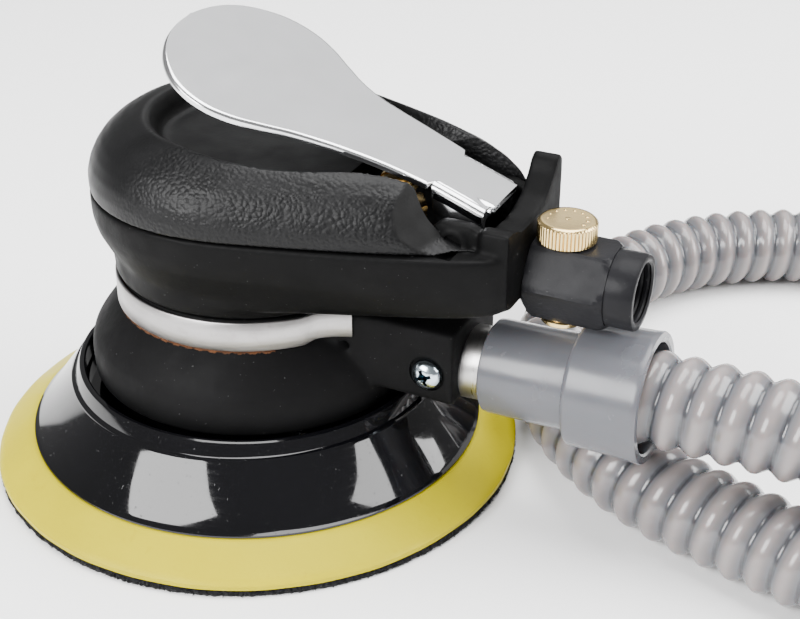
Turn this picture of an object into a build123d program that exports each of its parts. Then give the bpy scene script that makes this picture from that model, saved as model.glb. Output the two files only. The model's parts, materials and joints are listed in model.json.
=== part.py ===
from build123d import *
import math
import os

# Pneumatic random-orbit palm sander with a dust hose. Millimetres, +Z up.
# The origin is where the motor axis meets the pad's face; +X points to the air inlet.

# --- driving dimensions
PAD_R = 62.5             # 5 in sanding pad
HOOK_T = 1.6             # hook-and-loop face
FOAM_TOP = 8.4           # top of the foam ring
PAD_BODY_R = 53.4        # moulded pad body at the foam
RIDGE_R, RIDGE_Z = 43.4, 21.8
COLLAR_TOP = 25.0        # upstanding collar round the shroud
COLLAR_IN_R = 40.0
PAD_FLOOR = 20.0         # inside the collar
PAD_HUB_TOP = 22.2
ORBIT = 1.2              # pad axis to motor axis, half of a 2.4 mm orbit
DUST_HOLES = 6
DUST_PCD_R = 40.0
STUD_R = 3.97            # 5/16 in stud

SHROUD_R = 38.3
NECK_R = 30.4            # rubber neck under the band
NECK_IN_R = 28.5         # housing barrel inside the neck
NECK_TOP = 48.2
BAND_LOW, BAND_HIGH = 41.2, 48.2
BAND_T = 0.8

BARREL_R = 31.4          # housing barrel above the band
PARTING_Z = 69.0         # where the grip meets the housing
BELLY_R = 35.4           # widest part of the body, at the parting line
HOUSING_TOP = 78.5
TAIL_X = 66.0
FIN_X0 = 62.0
TAIL_HALF_W = 15.0

MOTOR_R = 26.0           # bore for the air motor
CYL_BORE_R = 21.5
CYL_ECC = 1.9
ROTOR_R = 19.5
CYL_LOW, CYL_HIGH = 50.0, 66.0
VANES = 5
RUN = 0.03               # radial running clearance

PIN_X, PIN_Z, PIN_R = 56.0, 70.0, 1.5
EAR_IN, EAR_OUT = 10.6, 14.0
SHEET = 1.5              # lever sheet
LEVER_TIP, LEVER_END = -13.0, 61.4
WELL_HALF_W = 12.4       # opening in the grip over the valve

VALVE_X, VALVE_Y = 40.5, -6.2
CAP_TOP = 79.5           # 0.3 mm under the resting lever
STEM_R = 1.6
SEAT_Z = 62.8

INLET_Z = 60.0
HEX_AF = 16.6
HEX_X0, HEX_X1 = 68.6, 87.0
INLET_END = 92.5
INLET_R = 6.58           # 1/4 in pipe thread
INLET_DEPTH = 12.0
INLET_SHANK_R = 5.4      # thread in the tail
KNOB_X, KNOB_R = 75.4, 6.3
KNOB_LOW, KNOB_HIGH = 68.5, 73.5
SPOOL_R = 3.77

DUST_X, DUST_Z = 55.0, 34.4
DUST_TILT = 2.0          # degrees, rising away from the body
TUBE_R, TUBE_IN_R = 8.35, 7.1
BOSS_X, BOSS_HALF_W, BOSS_TOP, BOSS_LOW = 55.3, 12.0, 46.4, 28.6
SCREW_X, SCREW_Z, SCREW_R = 49.5, 36.0, 1.9
SCREW_DEPTH = 0.8        # recess under the screw's head
CUFF_R, CUFF_MOUTH_R, CUFF_MOUTH_IN = 10.4, 14.5, 11.8
CUFF_X0, CUFF_X1, CUFF_X2, CUFF_SHOULDER = 60.3, 81.0, 97.0, 86.0
HOSE_D = 21.0
HOSE_R = HOSE_D / 2
HOSE_IN_R = 8.7
END_CUFF_LEN = 40.0
END_CUFF_IN_R = 8.0

OUT = "parts"


def ring(r_out, r_in, z0, z1):
    """Tube about Z between two heights."""
    body = Pos(0, 0, (z0 + z1) / 2) * Cylinder(r_out, z1 - z0)
    if r_in > 0:
        body -= Pos(0, 0, (z0 + z1) / 2) * Cylinder(r_in, z1 - z0 + 2)
    return body


def rod_x(r, x0, x1, y=0, z=0):
    """Cylinder along X."""
    return Pos((x0 + x1) / 2, y, z) * Rot(0, 90, 0) * Cylinder(r, x1 - x0)


def rod_y(r, y0, y1, x=0, z=0):
    """Cylinder along Y."""
    return Pos(x, (y0 + y1) / 2, z) * Rot(90, 0, 0) * Cylinder(r, y1 - y0)


def block(x0, x1, y0, y1, z0, z1):
    """Box between two corners."""
    return Pos((x0 + x1) / 2, (y0 + y1) / 2, (z0 + z1) / 2) * Box(x1 - x0, y1 - y0, z1 - z0)


def turned(points):
    """Solid of revolution about Z from (r, z) corners."""
    face = make_face(Polyline(*[(r, 0, z) for r, z in points], close=True))
    return revolve(face, Axis.Z)


def along_x(points):
    """Solid of revolution about X from (x, r) corners."""
    face = make_face(Polyline(*[(x, 0, r) for x, r in points], close=True))
    return revolve(face, Axis.X)


def side_prism(points, half_w):
    """Outline in X and Z, extruded to both sides in Y."""
    face = make_face(Polyline(*[(x, 0, z) for x, z in points], close=True))
    return extrude(face, half_w, dir=(0, 1, 0), both=True)


def plan_prism(half, z0, z1):
    """Plan outline given by its +Y half from rear to nose, mirrored and extruded in Z."""
    full = half + [(x, -y) for x, y in reversed(half) if y > 0]
    face = make_face(Polyline(*[(x, y, z0) for x, y in full], close=True))
    return extrude(face, z1 - z0, dir=(0, 0, 1))


def at_pad(body):
    """Move a piece from the motor axis to the pad's axis."""
    return Pos(0, -ORBIT, 0) * body


def tilt_dust(body):
    """Turn a piece built along X through the origin onto the dust port's axis."""
    return Pos(DUST_X, 0, DUST_Z) * Rot(0, -DUST_TILT, 0) * Pos(-DUST_X, 0, 0) * body


# --- sanding pad

def dust_spots(radius):
    return [Rot(0, 0, 360 / DUST_HOLES * k) * Pos(radius, 0, 0) for k in range(DUST_HOLES)]


def hook_layer():
    disc = ring(PAD_R - 0.2, 0, 0, HOOK_T)
    for spot in dust_spots(DUST_PCD_R):
        disc -= spot * Cylinder(4.5, 3 * HOOK_T)
    return at_pad(disc)


def pad_foam():
    edge_top = HOOK_T + 1.6
    foam = turned([
        (0, HOOK_T), (PAD_R, HOOK_T), (PAD_R, edge_top), (PAD_BODY_R + 0.8, FOAM_TOP), (0, FOAM_TOP)])
    for spot in dust_spots(DUST_PCD_R):
        foam -= spot * Pos(0, 0, 5) * Cylinder(4.5, 12)
    return at_pad(foam)


def stud_profile():
    return [(0, 11.0), (16, 11.0), (16, 13.0), (STUD_R, 13.0), (STUD_R, 33.0), (0, 33.0)]


def pad_body():
    body = turned([
        (0, FOAM_TOP), (PAD_BODY_R, FOAM_TOP), (PAD_BODY_R, FOAM_TOP + 0.8), (RIDGE_R, RIDGE_Z),
        (RIDGE_R - 1.0, RIDGE_Z + 0.4), (COLLAR_IN_R + 1.4, COLLAR_TOP), (COLLAR_IN_R, COLLAR_TOP),
        (COLLAR_IN_R, PAD_FLOOR), (14, PAD_FLOOR), (12, PAD_HUB_TOP), (0, PAD_HUB_TOP)])
    lean = math.degrees(math.atan2(9.0, PAD_FLOOR - FOAM_TOP))
    for spot in dust_spots(DUST_PCD_R - 4.5):
        body -= spot * Pos(0, 0, (PAD_FLOOR + FOAM_TOP) / 2) * Rot(0, -lean, 0) * Cylinder(4.3, 26)
    body -= turned(stud_profile())
    return at_pad(body)


def pad_stud():
    return at_pad(turned(stud_profile()))


# --- spindle and balancer

def spindle():
    body = ring(9.0, 4.05, PAD_HUB_TOP, 27.6)
    for k in range(2):
        flat = block(7.0, 12, -12, 12, PAD_HUB_TOP - 1, 27.6)
        body -= Rot(0, 0, 180 * k) * flat
    body += ring(10.0, 4.05, 27.6, 31.0)
    body += ring(6.0, 4.05, 31.0, 34.0)
    body += ring(6.0, 0, 34.0, 38.4)
    return at_pad(body)


def spindle_bearing():
    z0, z1 = 32.0, 38.0
    races = [ring(12.0, 10.4, z0, z1), ring(7.8, 6.0 + RUN, z0, z1)]
    balls = [Rot(0, 0, 45 * k) * Pos(9.1, 0, 35.0) * Sphere(1.6) for k in range(8)]
    races = [race - turned_groove(9.1, 35.0, 1.65) for race in races]
    return Compound([at_pad(s) for s in races + balls])


def turned_groove(radius, z, r):
    """Ball groove, a ring of round section."""
    return Pos(0, 0, z) * Torus(radius, r)


def spindle_ring():
    return at_pad(ring(12.0, 10.6, 31.0, 32.0))


def shaft_balancer():
    hub = at_pad(ring(15.5, 0, 31.0, 40.4))
    weight = ring(24.5, 0, 33.0, 39.6) & block(-30, 30, 4, 30, 30, 45)
    journal = ring(6.5, 0, 40.4, 42.9) + ring(5.0, 0, 42.9, CYL_HIGH - 0.1)
    journal += ring(3.0, 0, CYL_HIGH - 0.2, 73.0)
    body = hub + weight + journal
    body -= at_pad(ring(12.0, 0, 30, 38.0))
    body -= at_pad(ring(7.5, 0, 37.9, 38.8))
    return body - shaft_key()


def shaft_key():
    return block(-1.0, 1.0, 4.0, 6.0, 52.0, 64.0)


# --- air motor

def ball_bearing(r_out, r_in, z0, z1, count):
    mid_r = (r_out + r_in) / 2
    ball = (r_out - r_in) * 0.24
    mid_z = (z0 + z1) / 2
    races = [ring(r_out, mid_r + ball * 0.75, z0, z1), ring(mid_r - ball * 0.75, r_in, z0, z1)]
    races = [race - turned_groove(mid_r, mid_z, ball + 0.05) for race in races]
    balls = [Rot(0, 0, 360 / count * k) * Pos(mid_r, 0, mid_z) * Sphere(ball) for k in range(count)]
    return Compound(races + balls)


def lower_bearing():
    return ball_bearing(11.0, 5.0 + RUN, 43.0, 49.0, 9)


def upper_bearing():
    return ball_bearing(9.5, 3.0 + RUN, 67.4, 73.2, 8)


def cylinder_pin():
    return Pos(0, -23.4, 58.0) * Cylinder(1.3, 20)


def lower_end_plate():
    plate = ring(MOTOR_R, 6.0, 46.2, CYL_LOW) + ring(13.0, 11.0, 43.0, 46.4)
    plate -= ring(11.0, 0, 42.0, 49.0)
    return plate - cylinder_pin()


def upper_end_plate():
    plate = ring(MOTOR_R, 4.0, CYL_HIGH, 70.0) + ring(12.0, 9.5, 69.8, 73.4)
    plate -= ring(9.5, 0, 67.4, 75.0)
    return plate - cylinder_pin()


def motor_cylinder():
    body = ring(MOTOR_R, 0, CYL_LOW, CYL_HIGH)
    body -= Pos(0, CYL_ECC, 58.0) * Cylinder(CYL_BORE_R, 20)
    body -= cylinder_pin()
    for k in range(3):
        body -= rod_y(1.2, -30, -15, x=0, z=54.0 + 4 * k).rotate(Axis.Z, 35)
    body -= rod_x(1.6, 18, 30, z=64.0)
    return body


def rotor():
    body = ring(ROTOR_R, 5.0, CYL_LOW + 0.08, CYL_HIGH - 0.08)
    for k in range(VANES):
        body -= Rot(0, 0, 72 * k + 18) * block(11.5, 25, -0.8, 0.8, CYL_LOW - 1, CYL_HIGH + 1)
    return body - shaft_key()


def rotor_vanes():
    one = block(11.9, ROTOR_R - 0.05, -0.75, 0.75, CYL_LOW + 0.1, CYL_HIGH - 0.1)
    return Compound([Rot(0, 0, 72 * k + 18) * one for k in range(VANES)])


def lock_ring():
    body = ring(MOTOR_R, 18.0, 40.6, 43.6) + ring(MOTOR_R, 22.0, 43.5, 46.2)
    for k in range(4):
        body -= Rot(0, 0, 45 + 90 * k) * Pos(22.0, 0, 41) * Cylinder(1.6, 3)
    return body


# --- housing and grip

def tail_plan():
    """Half outline of the body in plan from the rear centre line to the nose."""
    turns = [math.radians(a) for a in range(70, 180, 10)]
    nose = [(BELLY_R * math.cos(a), BELLY_R * math.sin(a)) for a in turns]
    rear = [(TAIL_X, 0), (TAIL_X, TAIL_HALF_W), (58, 20.0), (41, 25.5), (24, 30.5)]
    return rear + nose + [(-BELLY_R, 0)]


def motor_housing():
    barrel = turned([
        (0, 40.0), (NECK_IN_R, 40.0), (NECK_IN_R, NECK_TOP + 0.4), (BARREL_R, NECK_TOP + 0.4),
        (BARREL_R, 56.0),
        (33.2, 58.0), (34.8, 61.0), (BELLY_R, 65.0), (BELLY_R, PARTING_Z), (31.0, PARTING_Z),
        (31.0, 74.5), (27.5, HOUSING_TOP), (0, HOUSING_TOP)])
    tail = plan_prism(tail_plan(), 50.0, PARTING_Z)
    tail &= side_prism([
        (0, 58), (30, 51.0), (40, 51.0), (52, 53.5), (TAIL_X, 55.5), (TAIL_X, PARTING_Z), (0, PARTING_Z)], 40)
    fin = fin_plate()
    ears = block(50.5, 62.0, EAR_IN, EAR_OUT, PARTING_Z - 1, 74.0)
    ears += block(50.5, 62.0, -EAR_OUT, -EAR_IN, PARTING_Z - 1, 74.0)
    body = barrel + tail + fin + ears
    body -= ring(MOTOR_R, 0, 39.0, 70.0)
    body -= ring(24.0, 0, 69.0, 74.0)
    body -= rod_y(PIN_R, -20, 20, x=PIN_X, z=PIN_Z)
    body -= rod_x(INLET_SHANK_R, 56.0, 80.0, z=INLET_Z)
    body -= rod_x(2.6, VALVE_X, 60.0, y=VALVE_Y / 2, z=INLET_Z)
    body -= at_valve(ring(5.2, 0, 54.0, 75.0))
    body -= rod_x(1.1, 24.0, VALVE_X, y=VALVE_Y, z=65.4)
    body -= lever_well()
    return body


def lever_well():
    """Space under the rear of the lever, between the ears."""
    return block(47.8, FIN_X0, -EAR_IN, EAR_IN, 66.0, 90.0)


def fin_plate():
    """Saddle-topped flange behind the lever, higher on its far side."""
    w = TAIL_HALF_W
    outline = [
        (-w, 55.5), (w, 55.5), (w + 1.0, 79.0), (w - 1.0, 80.5), (w - 4.0, 79.0), (6.0, 73.5), (-2.0, 71.8),
        (-9.0, 72.4), (-12.5, 74.2), (-w, 74.2)]
    face = make_face(Polyline(*[(FIN_X0, y, z) for y, z in outline], close=True))
    return extrude(face, TAIL_X + 2.4 - FIN_X0, dir=(1, 0, 0))


def palm_grip():
    dome = turned([
        (0, PARTING_Z), (BELLY_R, PARTING_Z), (BELLY_R, 72.5), (34.2, 77.0), (31.0, 81.0), (26.5, 84.2),
        (22.0, 86.0), (0, 86.0)])
    cover = plan_prism(tail_plan(), PARTING_Z, 86.0)
    cover &= side_prism([
        (0, PARTING_Z), (FIN_X0, PARTING_Z), (FIN_X0, 71.5), (54, 76.5), (44, 82.0), (32, 85.5),
        (0, 86.0)], 40)
    grip = dome + cover
    grip -= turned([(0, 60), (31.0, 60), (31.0, 74.5), (27.5, HOUSING_TOP), (0, HOUSING_TOP)])
    grip -= lever_recess()
    grip -= block(VALVE_X - 9, FIN_X0 + 1, -WELL_HALF_W, WELL_HALF_W, PARTING_Z - 1, 90.0)
    grip -= block(48.0, FIN_X0 + 1, -EAR_OUT, EAR_OUT, PARTING_Z - 1, 90.0)
    grip -= near_scoop()
    return grip


def lever_recess():
    """Hollow in the top that takes the lever when it is pressed."""
    half = [
        (70, 0), (70, 12.5), (44, 13.5), (33, 17.5), (24, 22.5), (14, 25.2), (2, 25.2), (-9, 21.0), (-16, 14.0),
        (-19.2, 6.0), (-19.8, 0)]
    return plan_prism(half, HOUSING_TOP + 1.4, 95.0)


def near_scoop():
    """Slanted cut-away beside the valve and the lever's pin."""
    outline = [
        (42.0, 90.0), (42.0, 79.0), (46.0, 73.0), (51.0, 69.3), (58.0, 69.3), (FIN_X0 + 1, 71.0),
        (FIN_X0 + 1, 90.0)]
    face = make_face(Polyline(*[(x, -9.0, z) for x, z in outline], close=True))
    return extrude(face, 30.0, dir=(0, -1, 0))


# --- lever

def lever_line():
    """Top surface of the lever in X and Z, tip first."""
    return Spline(
        (LEVER_TIP, 104.2), (-2.6, 98.5), (8, 93.5), (22, 88.2), (40, 82.8), (56, 77.2), (LEVER_END, 75.2))


def lever_outline():
    return [
        (LEVER_END, 0), (LEVER_END, 8.8), (54, 9.4), (47, 10.2), (40, 11.2), (33, 12.4), (27, 13.8), (21, 16.2),
        (15.3, 19.7), (10.2, 22.8), (5.5, 24.4), (1.2, 24.4), (-2.6, 23.1), (-5.8, 20.6), (-8.6, 17.2),
        (-10.8, 12.9), (-12.3, 7.5), (LEVER_TIP, 0)]


def lever():
    plan = plan_prism(lever_outline(), 60, 110)
    sheet = lever_sheet() & plan
    channel = lever_block_below() & plan_prism(flange_plan(), 60, 110)
    channel -= block(40, 66, -7.6, 7.6, 60, 110) & lever_block_below(SHEET)
    body = sheet + channel
    return body - rod_y(PIN_R + RUN, -20, 20, x=PIN_X, z=PIN_Z)


def flange_plan():
    return [(60.4, 0), (60.4, 9.0), (49.0, 9.0), (49.0, 0)]


def lever_curve_points():
    line = lever_line()
    steps = 24
    spots = [line @ (k / steps) for k in range(steps + 1)]
    return [(p.X, p.Y) for p in spots]


def lever_sheet():
    top = lever_curve_points()
    low = [(x, z - SHEET) for x, z in reversed(top)]
    return side_prism(top + low, 30)


def lever_block_below(drop=0.0):
    """Everything from the lever's top line, less drop, down to under its pin."""
    top = [(x, z - drop) for x, z in lever_curve_points() if x > 30]
    return side_prism(top + [(LEVER_END, 67.4), (49.0, 67.4), (46.0, 72.0)], 30)


def lever_pin():
    return rod_y(PIN_R, -EAR_OUT, EAR_OUT, x=PIN_X, z=PIN_Z)


# --- start valve

def at_valve(body):
    return Pos(VALVE_X, VALVE_Y, 0) * body


def valve_plunger():
    stem = ring(STEM_R, 0, SEAT_Z - 0.1, 76.6)
    cap = ring(4.2, 0, 76.4, CAP_TOP)
    slot = block(-0.5, 0.5, -6, 6, CAP_TOP - 1.0, CAP_TOP + 1)
    return at_valve(stem + cap - Rot(0, 0, 35) * slot)


def valve_tip():
    return at_valve(ring(3.9, 0, 60.8, SEAT_Z - 0.1))


def valve_seat():
    return at_valve(ring(5.2, 2.6, SEAT_Z, SEAT_Z + 1.4))


def valve_bush():
    body = ring(5.2, 0, 66.6, 69.1)
    body += Pos(0, 0, 69.0) * extrude(RegularPolygon(6.2, 6), 4.4)
    return at_valve(body - ring(STEM_R + RUN, 0, 60, 80))


def valve_spring():
    wire_r, coil_r = 0.35, 2.8
    low, high = 54.0, 60.8
    path = Helix(pitch=1.5, height=high - low - 2 * wire_r, radius=coil_r)
    start = path @ 0
    section = Plane(origin=start, z_dir=path % 0) * Circle(wire_r)
    coil = sweep(section, path=path)
    return at_valve(Pos(0, 0, low + wire_r) * coil)


# --- inlet and regulator

def inlet_bushing():
    hexagon = Plane.YZ * RegularPolygon(HEX_AF / 2, 6, major_radius=False)
    body = Pos(HEX_X0, 0, INLET_Z) * extrude(hexagon, HEX_X1 - HEX_X0)
    body += rod_x(HEX_AF / 2 - 0.1, HEX_X1 - 0.5, INLET_END, z=INLET_Z)
    body += rod_x(INLET_SHANK_R, 56.2, HEX_X0 + 0.5, z=INLET_Z)
    body -= rod_x(INLET_R, INLET_END - INLET_DEPTH, INLET_END + 1, z=INLET_Z)
    body -= rod_x(3.4, 56.0, INLET_END - INLET_DEPTH + 0.5, z=INLET_Z)
    body -= Pos(KNOB_X, 0, 0) * ring(SPOOL_R + RUN, 0, 50.0, 70.0)
    return body


def regulator_spool():
    body = ring(SPOOL_R, 0, 51.2, 57.0) + ring(2.0, 0, 56.9, 63.1) + ring(SPOOL_R, 0, 63.0, KNOB_LOW)
    return Pos(KNOB_X, 0, 0) * body


def regulator_knob():
    body = ring(KNOB_R, 0, KNOB_LOW, KNOB_HIGH)
    body = chamfer(body.edges().group_by(Axis.Z)[-1], 0.5)
    return Pos(KNOB_X, 0, 0) * body


def regulator_ring():
    return Pos(KNOB_X, 0, 0) * ring(4.6, 0, 49.8, 51.2)


# --- shroud and dust port

def shroud():
    bell = turned([
        (SHROUD_R, 23.4), (SHROUD_R + 0.2, 30.2), (37.9, 32.3), (35.5, 35.9), (33.7, 38.1), (32.0, 39.8),
        (NECK_R, 40.4), (NECK_R, NECK_TOP), (NECK_IN_R, NECK_TOP), (NECK_IN_R, 39.0), (31.2, 37.6),
        (33.6, 34.6), (36.0, 31.0), (36.0, 23.4)])
    boss = block(28.5, BOSS_X, -BOSS_HALF_W, BOSS_HALF_W, BOSS_LOW, BOSS_TOP)
    boss = fillet(boss.edges().filter_by(Axis.X), 2.0)
    boss += rod_x(TUBE_R + 1.5, BOSS_X - 11.4, BOSS_X, z=DUST_Z)
    boss -= ring(34.0, 0, 20, 50)
    body = bell + boss
    body -= tilt_dust(rod_x(TUBE_R, 30, 60))
    body -= rod_y(SCREW_R, -15, -5, x=SCREW_X, z=SCREW_Z)
    body -= rod_y(4.2, -BOSS_HALF_W - 1, -BOSS_HALF_W + SCREW_DEPTH, x=SCREW_X, z=SCREW_Z)
    return body


def shroud_screw():
    y_face = -BOSS_HALF_W + SCREW_DEPTH
    shank = rod_y(SCREW_R, y_face, -8.6, x=SCREW_X, z=SCREW_Z)
    head = rod_y(3.5, y_face - 2.2, y_face, x=SCREW_X, z=SCREW_Z)
    for turn in (20, 110):
        head -= Pos(SCREW_X, y_face - 1.7, SCREW_Z) * Rot(0, turn, 0) * Box(4.0, 2.0, 0.9)
    return shank + head


def band_arc(r_in, r_out, z0, z1, half_gap):
    """Band about Z, open by half_gap degrees each side of +X."""
    body = ring(r_out, r_in, z0, z1)
    reach = 60.0
    wedge_y = reach * math.tan(math.radians(half_gap))
    return body - plan_prism([(reach, 0), (reach, wedge_y), (0, 0)], z0 - 1, z1 + 1)


def clamp_band():
    body = band_arc(NECK_R + 0.6, NECK_R + 0.6 + BAND_T, BAND_LOW, BAND_HIGH, 40)
    outline = [(23.8, 19.9), (32.0, 12.6), (32.6, 13.3), (24.5, 20.6)]
    face = make_face(Polyline(*[(x, y, BAND_LOW) for x, y in outline], close=True))
    tab = extrude(face, BAND_HIGH - BAND_LOW, dir=(0, 0, 1))
    return body + tab + mirror(tab, Plane.XZ)


def band_liner():
    return band_arc(NECK_R, NECK_R + 0.6, BAND_LOW - 0.7, BAND_HIGH - 0.6, 50)


def dust_tube():
    body = rod_x(TUBE_R, 44.6, 74.0) - rod_x(TUBE_IN_R, 40.0, 75.0)
    return tilt_dust(body)


def hose_cuff():
    body = along_x([
        (CUFF_X0, TUBE_R), (CUFF_X0, CUFF_R), (CUFF_X1 - 1.5, CUFF_R), (CUFF_X1, CUFF_MOUTH_R - 0.9),
        (CUFF_X2, CUFF_MOUTH_R), (CUFF_X2, CUFF_MOUTH_IN), (CUFF_SHOULDER, CUFF_MOUTH_IN),
        (CUFF_SHOULDER, TUBE_R)])
    return tilt_dust(body)


# --- dust hose

def on_dust_axis(x):
    """Point of the dust port's axis at a distance along it."""
    turn = math.radians(DUST_TILT)
    reach = x - DUST_X
    return (DUST_X + reach * math.cos(turn), 0.0, DUST_Z + reach * math.sin(turn))


def hose_route():
    """Control points from the cuff's shoulder to the end cuff; on the floor the hose lies at z = HOSE_R."""
    return [
        on_dust_axis(CUFF_SHOULDER),
        on_dust_axis(CUFF_SHOULDER + 30),
        (146, 1, 33.5),
        (177, 2, 26),
        (210, 5, 16.5),
        (246, 10, HOSE_R),
        (277, 30.5, HOSE_R),
        (295, 63, HOSE_R),
        (296, 100, HOSE_R),
        (280, 134, HOSE_R),
        (251, 156.5, HOSE_R),
        (214.5, 163.5, HOSE_R),
        (180, 156.5, HOSE_R),
        (146, 150, HOSE_R),
        (113, 142.5, HOSE_R),
        (85, 131, HOSE_R),
        (63.5, 109, HOSE_R),
        (53, 80, HOSE_R),
        (55.5, 49.5, HOSE_R),
        (70, 22.5, HOSE_R),
        (94, 4, HOSE_R),
        (124, -5, HOSE_R),
        (158, -14, HOSE_R),
        (190, -20, HOSE_R),
        (217, -22, HOSE_R),
        (246, -19.5, HOSE_R),
        (281, -1.5, HOSE_R),
        (308, 29, HOSE_R),
        (321, 67, HOSE_R),
        (319, 107.5, HOSE_R),
        (302, 144, HOSE_R),
        (272, 172, HOSE_R),
        (234.5, 186.5, HOSE_R),
        (194, 186, HOSE_R),
        (158, 178, HOSE_R),
    ]


def turn_angle(a, b, c):
    first = Vector(*b) - Vector(*a)
    second = Vector(*c) - Vector(*b)
    return first, second, math.radians(first.get_angle(second))


def hose_path():
    points = hose_route()
    radii = []
    for a, b, c in zip(points, points[1:], points[2:]):
        first, second, turn = turn_angle(a, b, c)
        radii.append(0.45 * min(first.length, second.length) / math.tan(turn / 2))
    print("hose radii", [round(r) for r in radii])
    return FilletPolyline(*points, radius=radii)


def hose():
    path = hose_path()
    section = Plane(origin=path @ 0, z_dir=path % 0) * (Circle(HOSE_R) - Circle(HOSE_IN_R))
    tube = sweep(section, path=path)
    length = sum(edge.length for edge in path.edges())
    share = tube.volume / (length * section.area)
    print("hose length", round(length, 1), "volume ratio", round(share, 4))
    return tube


def hose_end_cuff():
    """Plain cuff on the hose's far end, for a dust bag or an extractor."""
    points = hose_route()
    last, before = Vector(*points[-1]), Vector(*points[-2])
    away = (last - before).normalized()
    frame = Plane(origin=last, z_dir=away)
    return frame * (ring(HOSE_R, 0, 0, END_CUFF_LEN) - ring(END_CUFF_IN_R, 0, 1.0, END_CUFF_LEN + 1.0))


PIECES = [
    hook_layer, pad_foam, pad_body, pad_stud, spindle, spindle_bearing, spindle_ring, shaft_balancer,
    shaft_key, lower_bearing, upper_bearing, cylinder_pin, lower_end_plate, upper_end_plate, motor_cylinder,
    rotor, rotor_vanes, lock_ring, motor_housing, palm_grip, lever, lever_pin, valve_plunger, valve_tip,
    valve_seat, valve_bush, valve_spring, inlet_bushing, regulator_spool, regulator_knob, regulator_ring,
    shroud, shroud_screw, clamp_band, band_liner, dust_tube, hose_cuff, hose, hose_end_cuff,
]

os.makedirs(OUT, exist_ok=True)
for make in PIECES:
    export_step(make(), os.path.join(OUT, make.__name__ + ".step"))
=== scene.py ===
import json
import math

import bmesh
import bpy
import numpy as np
from mathutils import Matrix, Vector


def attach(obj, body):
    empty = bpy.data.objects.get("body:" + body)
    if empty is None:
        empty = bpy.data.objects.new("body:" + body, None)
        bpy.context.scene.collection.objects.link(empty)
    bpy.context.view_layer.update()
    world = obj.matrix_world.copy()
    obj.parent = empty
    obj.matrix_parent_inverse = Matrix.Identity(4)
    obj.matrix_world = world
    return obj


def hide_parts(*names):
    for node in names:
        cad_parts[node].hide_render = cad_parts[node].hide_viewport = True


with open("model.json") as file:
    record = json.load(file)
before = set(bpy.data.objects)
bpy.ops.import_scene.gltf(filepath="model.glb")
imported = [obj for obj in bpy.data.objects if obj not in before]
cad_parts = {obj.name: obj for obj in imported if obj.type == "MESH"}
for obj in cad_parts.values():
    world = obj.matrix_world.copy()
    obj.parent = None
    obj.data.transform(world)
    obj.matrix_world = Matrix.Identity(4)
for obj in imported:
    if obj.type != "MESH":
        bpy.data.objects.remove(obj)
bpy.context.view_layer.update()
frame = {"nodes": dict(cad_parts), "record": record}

MM = 0.001
TURN = 2 * math.pi
QUARTER = math.radians(90)


# ---------------------------------------------------------------- camera

CAMERA_SPOT = (0.1636, -0.2647, 0.2059)
AZIMUTH, ELEVATION = math.radians(25.5), math.radians(29.05)
LENS_MM = 67.5


def make_camera():
    back = Vector((math.sin(AZIMUTH) * math.cos(ELEVATION), -math.cos(AZIMUTH) * math.cos(ELEVATION),
                   math.sin(ELEVATION)))
    right = Vector((math.cos(AZIMUTH), math.sin(AZIMUTH), 0))
    up = back.cross(right)
    data = bpy.data.cameras.new("camera")
    data.lens = LENS_MM
    data.sensor_width = 36
    data.clip_start = 0.01
    camera = bpy.data.objects.new("camera", data)
    bpy.context.scene.collection.objects.link(camera)
    turn = Matrix((right, up, back)).transposed().to_4x4()
    camera.matrix_world = Matrix.Translation(CAMERA_SPOT) @ turn
    bpy.context.scene.camera = camera


make_camera()


# ---------------------------------------------------------------- materials

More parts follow.
